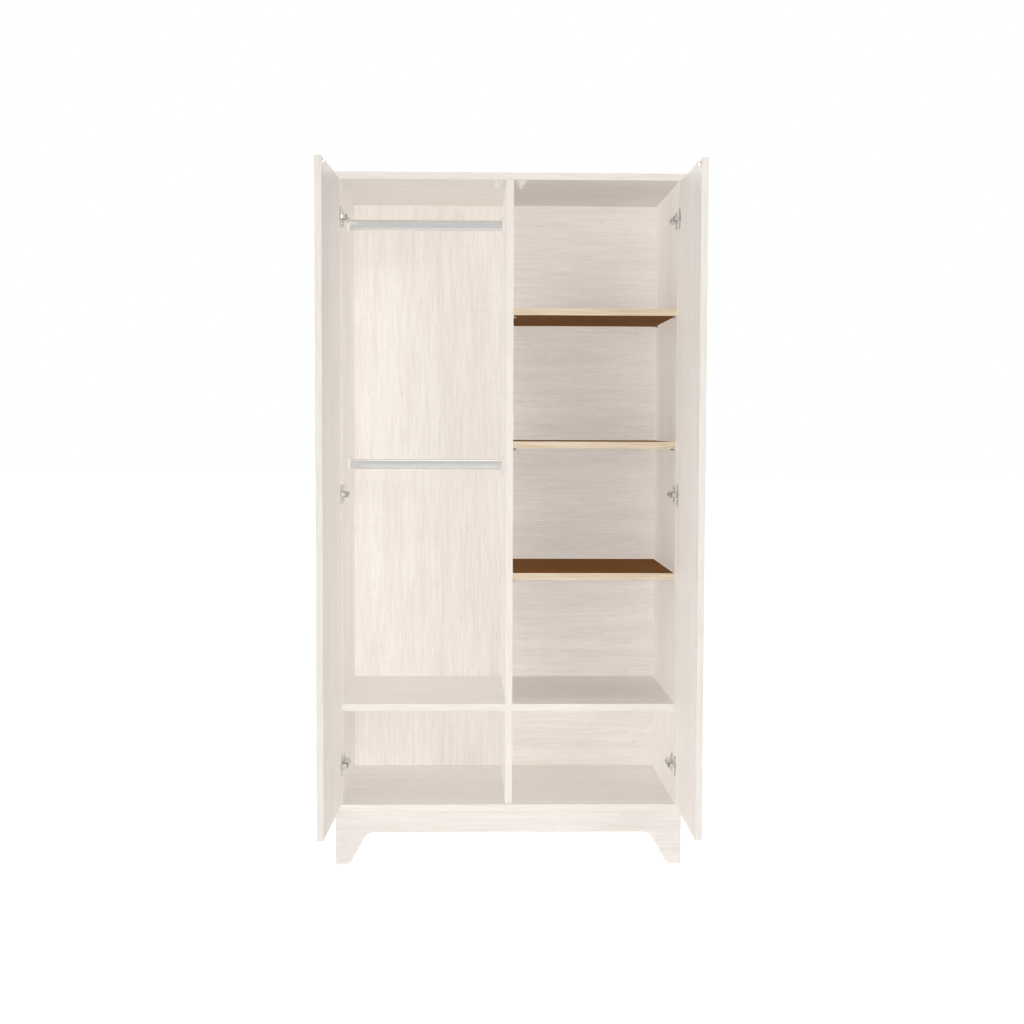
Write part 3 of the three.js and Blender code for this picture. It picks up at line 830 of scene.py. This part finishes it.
def cup_model():
    """A pressed cup with a rolled rim, sunk in the door, and its flange with two screws."""
    fittings = bpy.context.scene.wardrobe_fittings
    cad = hinge_model("cup", 1)
    xs, ys, zs = zip(*(vert.co for vert in cad.data.vertices))
    discard(cad)
    centre = Vector(((min(xs) + max(xs)) / 2, 0, 0))
    floor, top, tall = min(ys), max(ys), max(zs) - min(zs)
    thick, outer, inner = 1.2 * MM, 17.2 * MM, 16 * MM
    disc = (max(xs) - min(xs)) / 2
    upright = Matrix.Translation(centre) @ Matrix.Rotation(-math.pi / 2, 4, "X")
    segments = fittings.segments * 2
    rings = [(outer - 1.5 * MM, floor), (outer - 0.4 * MM, floor + 0.4 * MM), (outer, floor + 1.5 * MM)]
    rings += [(outer, top - thick), (disc, top - thick), (disc, top - 0.3 * MM), (disc - 0.3 * MM, top)]
    rings += [(inner + 0.8 * MM, top), (inner + 0.2 * MM, top - 0.25 * MM), (inner, top - 0.9 * MM)]
    rings += [(inner, floor + 3 * MM), (inner - 0.6 * MM, floor + 1.6 * MM), (inner - 2 * MM, floor + 1 * MM)]
    bowl = turned("cup_model", rings, segments)
    bowl.data.transform(upright)
    ear_wide, screw_apart = 16 * MM, 45 * MM
    parts = [bowl]
    for way in (-1, 1):
        tip = centre + Vector((0, 0, way * tall / 2))
        root = centre + Vector((0, 0, way * (inner + 0.9 * MM)))
        low = (centre.x - ear_wide / 2, top - thick, min(tip.z, root.z))
        high = (centre.x + ear_wide / 2, top, max(tip.z, root.z))
        ear = block("ear", low, high)
        round_corners(ear, 5 * MM, lambda edge: is_corner(edge, 1, tip.z))
        ease_edges(ear, **BURR)
        parts.append(ear)
    rolled_rim = 32  # degrees
    smooth(bowl, rolled_rim)
    for part in parts:
        coat(part, finish("nickel"))
    seats = [(REAR, (centre.x, top, way * screw_apart / 2)) for way in (-1, 1)]
    return joined("cup_model", [*parts, *screws(seats, fittings.screw_head)])


def is_corner(edge, axis, height):
    """An edge that runs along an axis, at a height."""
    first, second = (vert.co for vert in edge.verts)
    run = second - first
    return abs(run[axis]) > FACING * run.length and abs(first.z - height) < 0.05 * MM


def arm_model():
    """The arm: a pressed channel on a mounting plate, with its fixing and adjusting screws."""
    fittings = bpy.context.scene.wardrobe_fittings
    arm = hinge_model("arm", 0)
    web = reach(arm, RIGHT)
    tall = reach(arm, UP)
    round_corners(arm, 6 * MM, lambda edge: any(is_corner(edge, 0, z) for z in (-tall, tall)))
    ease_edges(arm, fittings.chamfer, above=SHARP)
    coat(arm, finish("nickel"))
    slot_radius, slot_rise, slot_along, past = 1.7 * MM, 3 * MM, 33 * MM, 1 * MM
    slot = oval_bar("slot", slot_radius, slot_rise, (web - past, 0, 0), (web + past, 0, 0), 24)
    slot.data.transform(Matrix.Translation((0, slot_along, 0)) @ Matrix.Rotation(math.pi / 2, 4, "X"))
    combine(arm, slot, "DIFFERENCE")
    smooth(arm, CRISP)
    plate_face = 14 * MM  # the mounting plate's open face, from the axis
    plate_middle, screw_rise = 48 * MM, 16.5 * MM
    seats = [(RIGHT, (plate_face, plate_middle, way * screw_rise)) for way in (-1, 1)]
    seats += [(RIGHT, (web, along * MM, 0)) for along in (22, 46, 62)]  # the adjusting screws
    return joined("arm_model", [arm, *screws(seats, fittings.screw_head)])


def link_model():
    """The link: a curved bar with a rivet head at each end."""
    fittings = bpy.context.scene.wardrobe_fittings
    link = hinge_model("link", LINK_SHARE)
    thick = reach(link, UP)
    ends = [(23.5, 46.4), (14, 12.6)]  # radius in millimetres and degrees from the hinge's +X
    ease_edges(link, fittings.chamfer, above=SHARP)
    coat(link, finish("nickel"))
    head = 1.7 * MM
    rings = [(head, -0.2 * MM), (head, 0.15 * MM), (head * 0.85, 0.45 * MM), (head * 0.5, 0.65 * MM)]
    rivet = coat(turned("rivet_model", rings, 20), finish("zinc"))
    domed = 50  # degrees
    smooth(rivet, domed)
    heads = []
    for radius, degrees in ends:
        angle = math.radians(degrees)
        for way in (DOWN, UP):
            place = Vector((radius * math.cos(angle), radius * math.sin(angle), 0)) * MM + way * thick
            heads.append(placed_copy(rivet, f"rivet_{len(heads)}", facing(way, place)))
    discard(rivet)
    return joined("link_model", [link, *heads])


def hinges():
    """Each hinge part is modelled once and copied to its six places."""
    parts = [
        ("cup", cup_model(), 1, "{}_door"),
        ("link", link_model(), LINK_SHARE, "{}_hinge_links"),
        ("arm", arm_model(), 0, "carcass"),
    ]
    for part, model, share, body in parts:
        for side in SIDES:
            for level in LEVELS:
                place = hinge_frame(side, share, hinge_height(side, level))
                piece = placed_copy(model, f"concealed_{part}_{side}_{level}", place)
                fit(piece, body.format(side), "nickel_steel", f"hinge_{part}_{side}_{level}")
        discard(model)


# ---- Push latches ----


def latch_housing(side):
    """A moulded barrel on a screwed base, open at the front for its plunger."""
    fittings = bpy.context.scene.wardrobe_fittings
    node = f"push_latch_{side}"
    low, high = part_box(node)
    middle = (low + high) / 2
    barrel = (high.z - low.z) / 2
    base, set_back = 2.6 * MM, 3 * MM
    housing = block(f"latch_housing_{side}", (low.x, low.y + set_back, high.z - base), high)
    round_corners(housing, 4 * MM, is_upright)
    saddle = block("saddle", (middle.x - barrel, low.y, middle.z), (middle.x + barrel, high.y, high.z))
    combine(housing, saddle, "UNION")
    length = high.y - low.y
    rings = [(barrel, 0), (barrel, length - 2 * MM), (barrel - 2 * MM, length)]
    tube = turned("tube", rings, fittings.segments * 2)
    tube.data.transform(facing(REAR, (middle.x, low.y, middle.z)))
    combine(housing, tube, "UNION")
    bore_low, bore_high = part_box(f"latch_plunger_{side}")
    bore, past, deep = (bore_high.x - bore_low.x) / 2 + 0.3 * MM, 1 * MM, 62 * MM
    hole = turned("hole", [(bore, -past), (bore, deep)], fittings.segments)
    hole.data.transform(facing(REAR, (middle.x, low.y, middle.z)))
    combine(housing, hole, "DIFFERENCE")
    ease_edges(housing, fittings.chamfer, above=SHARP)
    coat(housing, finish("plastic"))
    head, from_middle = 1.9 * MM, 24 * MM
    seats = [
        (DOWN, (middle.x + way * (barrel + head), middle.y + way * from_middle, high.z - base))
        for way in (-1, 1)
    ]
    piece = joined(f"latch_housing_{side}", [housing, *screws(seats, head)])
    fit(piece, "carcass", "white_plastic", node)


def is_upright(edge):
    """An edge that runs up and down."""
    run = edge.verts[1].co - edge.verts[0].co
    return abs(run.z) > FACING * run.length


def latch_plunger(side):
    """A ribbed plastic plunger with a plated magnet let into its nose."""
    fittings = bpy.context.scene.wardrobe_fittings
    node = f"latch_plunger_{side}"
    low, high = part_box(node)
    middle = (low + high) / 2
    radius = (high.x - low.x) / 2
    length = high.y - low.y
    rings = [(radius * 0.6, 1.4 * MM), (radius * 0.62, 0), (radius * 0.9, 0), (radius, 0.5 * MM)]
    rings += [(radius, 3 * MM), (radius * 0.94, 3.2 * MM), (radius * 0.94, 5 * MM), (radius, 5.2 * MM)]
    rings += [(radius, length - 0.5 * MM), (radius * 0.9, length)]
    body = turned("plunger", rings, fittings.segments)
    magnet = turned("magnet", [(radius * 0.58, 1.3 * MM), (radius * 0.58, 0.3 * MM)], fittings.segments)
    for piece, material in ((body, "plastic"), (magnet, "nickel")):
        piece.data.transform(facing(REAR, (middle.x, low.y, middle.z)))
        smooth(piece, CRISP)
        coat(piece, finish(material))
    fit(joined(f"magnet_plunger_{side}", [body, magnet]), f"{side}_latch_plunger", "white_plastic", node)


def strike_plate(side):
    """A small steel plate with round corners and two screws, which the magnet holds."""
    node = f"strike_plate_{side}"
    height = hinge_height(side, "top")
    cad = merged_copy(node, "strike_copy")
    shut = hinge_frame(side, 1, height)
    cad.data.transform(shut.inverted())
    corners = [vert.co for vert in cad.data.vertices]
    low = Vector([min(corner[axis] for corner in corners) for axis in range(3)])
    high = Vector([max(corner[axis] for corner in corners) for axis in range(3)])
    discard(cad)
    plate = block("strike", low, high)
    round_corners(plate, 3 * MM, lambda edge: any(is_corner(edge, 1, z) for z in (low.z, high.z)))
    ease_edges(plate, **BURR)
    coat(plate, finish("nickel"))
    middle = (low + high) / 2
    # The screws stand either side of the spot that the plunger meets.
    apart, head = 8 * MM, 1.7 * MM
    seats = [(REAR, (middle.x + way * apart, high.y, middle.z)) for way in (-1, 1)]
    model = joined("strike_model", [plate, *screws(seats, head)])
    piece = placed_copy(model, f"strike_{side}", shut)
    discard(model)
    fit(piece, f"{side}_door", "nickel_steel", node)


# ---- Stage ----


def sun(name, strength, azimuth, elevation, softness, shadow):
    """A distant soft light. Azimuth 0 comes from straight in front, and 90 from the right. The fills
    cast no shadow, as the light that comes back from a small white studio's walls hardly does."""
    bpy.ops.object.select_all(action="DESELECT")
    bpy.ops.object.light_add(type="SUN", location=(0, 0, 4))
    light = bpy.context.active_object
    light.name = name
    light.data.energy = strength
    light.data.angle = math.radians(softness)
    light.data.use_shadow = shadow
    light.visible_glossy = shadow
    across, up = math.radians(azimuth), math.radians(elevation)
    towards = Vector((math.sin(across) * math.cos(up), -math.cos(across) * math.cos(up), math.sin(up)))
    light.rotation_euler = towards.to_track_quat("Z", "Y").to_euler()


def stage_world(strength, gloss):
    """White all round: full white behind the object, softer as a light, and in between in its gloss."""
    world = bpy.data.worlds.new("white_cyclorama")
    bpy.context.scene.world = world
    world.use_nodes = True
    tree = world.node_tree
    tree.nodes.clear()
    path = add_node(tree, "LightPath").outputs
    seen = {0: path["Is Camera Ray"], 1: 1.0 - strength, 2: strength}
    level = add_node(tree, "Math", seen, **SCALED)
    shine = {0: path["Is Glossy Ray"], 1: gloss - strength, 2: level}
    level = add_node(tree, "Math", shine, **SCALED)
    background = add_node(tree, "Background", {"Color": (1, 1, 1, 1), "Strength": level})
    add_node(tree, "OutputWorld", {"Surface": background})


def stage_floor():
    bpy.ops.object.select_all(action="DESELECT")
    wide, under = 80, 0.2 * MM
    bpy.ops.mesh.primitive_plane_add(size=wide, location=(0, 0, -under))
    floor = settle("studio_floor")
    coat(floor, studio_floor())


def stage_camera(stage):
    bpy.ops.object.select_all(action="DESELECT")
    bpy.ops.object.camera_add(location=stage.camera_place, rotation=stage.camera_turn)
    camera = bpy.context.active_object
    camera.name = "studio_camera"
    camera.data.sensor_width = SENSOR
    camera.data.lens = stage.lens
    camera.data.shift_y = stage.rise
    camera.data.clip_end = 200
    bpy.context.scene.camera = camera


# ---- Operators ----


class WARDROBE_OT_stage(bpy.types.Operator):
    """Set up the camera, the lights and the floor"""

    bl_idname = "wardrobe.stage"
    bl_label = "Stage"

    def execute(self, context):
        stage = context.scene.wardrobe_stage
        context.scene.view_settings.view_transform = "Standard"
        stage_camera(stage)
        stage_floor()
        stage_world(stage.sky, stage.gloss)
        # Each one's azimuth, elevation and softness in degrees, and whether it casts shadows.
        suns = (
            ("key_light", stage.key, 22, 14, 16, True),
            ("top_light", stage.top, 10, 78, 60, True),
            ("front_fill", stage.front, -3, 5, 12, False),
            ("rear_light", stage.rear, 180, 10, 20, True),
            ("left_fill", stage.left, -84, 4, 20, False),
            ("right_fill", stage.right, 84, 4, 20, False),
            ("upper_fill", stage.above, 0, 84, 20, False),
            ("lower_fill", stage.below, 0, -84, 20, False),
        )
        for settings in suns:
            sun(*settings)
        return {"FINISHED"}


class WARDROBE_OT_carcass(bpy.types.Operator):
    """Build the top, bottom, sides, dividers and fixed shelf"""

    bl_idname = "wardrobe.carcass"
    bl_label = "Carcass boards"

    def execute(self, context):
        carcass_board("top_board", "across", (FRONT, LEFT, RIGHT))
        carcass_board("bottom_board", "across", (FRONT, LEFT, RIGHT))
        carcass_board("fixed_shelf", "across", (FRONT,))
        for node in ("upper_divider", "lower_divider", "side_panel_left", "side_panel_right"):
            carcass_board(node, "upright", (FRONT,))
        return {"FINISHED"}


class WARDROBE_OT_backs(bpy.types.Operator):
    """Build the two back panels and their nails"""

    bl_idname = "wardrobe.backs"
    bl_label = "Back panels"

    def execute(self, context):
        for side in SIDES:
            back_panel(side)
            back_nails(side)
        return {"FINISHED"}


class WARDROBE_OT_plinth(bpy.types.Operator):
    """Build the footed plinth"""

    bl_idname = "wardrobe.plinth"
    bl_label = "Plinth"

    def execute(self, context):
        plinth_board("plinth_front", "across")
        plinth_board("plinth_rear", "across")
        plinth_board("plinth_side_left", "inward")
        plinth_board("plinth_side_right", "inward")
        return {"FINISHED"}


class WARDROBE_OT_shelves(bpy.types.Operator):
    """Build the three loose shelves and their pins"""

    bl_idname = "wardrobe.shelves"
    bl_label = "Loose shelves"

    def execute(self, context):
        for level in ("upper", "middle", "lower"):
            loose_shelf(f"shelf_{level}")
        shelf_pins()
        return {"FINISHED"}


class WARDROBE_OT_rails(bpy.types.Operator):
    """Build the two hanging rails and their sockets"""

    bl_idname = "wardrobe.rails"
    bl_label = "Hanging rails"

    def execute(self, context):
        for level in ("upper", "lower"):
            hanging_rail(level)
            for end in ("outer", "inner"):
                rail_bracket(level, end)
        return {"FINISHED"}


class WARDROBE_OT_doors(bpy.types.Operator):
    """Build the two doors"""

    bl_idname = "wardrobe.doors"
    bl_label = "Doors"

    def execute(self, context):
        for side in SIDES:
            door_board(side)
        return {"FINISHED"}


class WARDROBE_OT_hinges(bpy.types.Operator):
    """Build the six concealed hinges"""

    bl_idname = "wardrobe.hinges"
    bl_label = "Concealed hinges"

    def execute(self, context):
        hinges()
        return {"FINISHED"}


class WARDROBE_OT_latches(bpy.types.Operator):
    """Build the push latches, their plungers and the strike plates"""

    bl_idname = "wardrobe.latches"
    bl_label = "Push latches"

    def execute(self, context):
        for side in SIDES:
            latch_housing(side)
            latch_plunger(side)
            strike_plate(side)
        return {"FINISHED"}


STEPS = (
    WARDROBE_OT_stage,
    WARDROBE_OT_carcass,
    WARDROBE_OT_backs,
    WARDROBE_OT_plinth,
    WARDROBE_OT_shelves,
    WARDROBE_OT_rails,
    WARDROBE_OT_doors,
    WARDROBE_OT_hinges,
    WARDROBE_OT_latches,
)


class WARDROBE_PT_panel(bpy.types.Panel):
    """The wardrobe's steps, in the order that they are taken"""

    bl_idname = "WARDROBE_PT_panel"
    bl_label = "Wardrobe"
    bl_space_type = "VIEW_3D"
    bl_region_type = "UI"
    bl_category = "Wardrobe"

    def draw(self, context):
        for step in STEPS:
            self.layout.operator(step.bl_idname)


GROUPS = {
    "wardrobe_boards": WardrobeBoards,
    "wardrobe_fittings": WardrobeFittings,
    "wardrobe_stage": WardrobeStage,
}


def register():
    for group in GROUPS.values():
        bpy.utils.register_class(group)
    for name, group in GROUPS.items():
        setattr(bpy.types.Scene, name, PointerProperty(type=group))
    for item in (*STEPS, WARDROBE_PT_panel):
        bpy.utils.register_class(item)


def unregister():
    for item in reversed((*STEPS, WARDROBE_PT_panel)):
        bpy.utils.unregister_class(item)
    for name in GROUPS:
        delattr(bpy.types.Scene, name)
    for group in reversed(GROUPS.values()):
        bpy.utils.unregister_class(group)


def main():
    register()
    bpy.ops.wardrobe.stage()
    bpy.ops.wardrobe.carcass()
    bpy.ops.wardrobe.backs()
    bpy.ops.wardrobe.plinth()
    bpy.ops.wardrobe.shelves()
    bpy.ops.wardrobe.rails()
    bpy.ops.wardrobe.doors()
    bpy.ops.wardrobe.hinges()
    bpy.ops.wardrobe.latches()


if __name__ == "__main__":
    main()
